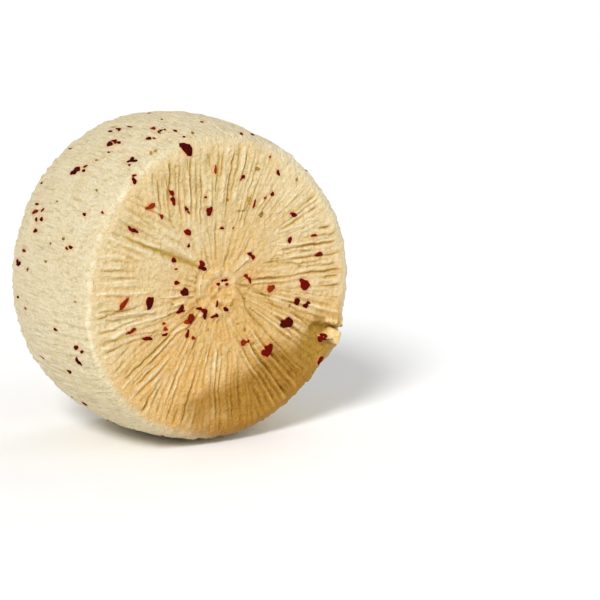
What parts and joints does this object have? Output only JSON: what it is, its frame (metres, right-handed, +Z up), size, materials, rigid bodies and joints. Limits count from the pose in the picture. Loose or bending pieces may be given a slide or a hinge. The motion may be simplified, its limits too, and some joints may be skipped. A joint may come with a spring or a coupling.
{
  "type": "primo sale cheese wheel",
  "caption": "Whole wheel of fresh primo sale cheese with chilli flakes, standing on its rim, with pleated flat faces, a ribbed rounded rim and a small dent.",
  "frame": {"origin": "on the surface the wheel stands on, under the middle of the wheel", "axes": "+Z up, wheel axis along Y, front face with the shown folds towards -Y, +X to the right of that face as seen from the front"},
  "size_m": [0.1838, 0.0922, 0.1831],
  "materials": {
    "curd": "moist fresh cheese, ivory rim and golden cream folds",
    "chilli_skin": "dried red chilli skin",
    "chilli_pulp": "orange-red chilli flesh",
    "chilli_seed": "dried chilli seed"
  },
  "bodies": {
    "root": {"cheese_wheel": "curd"}
  },
  "joints": []
}
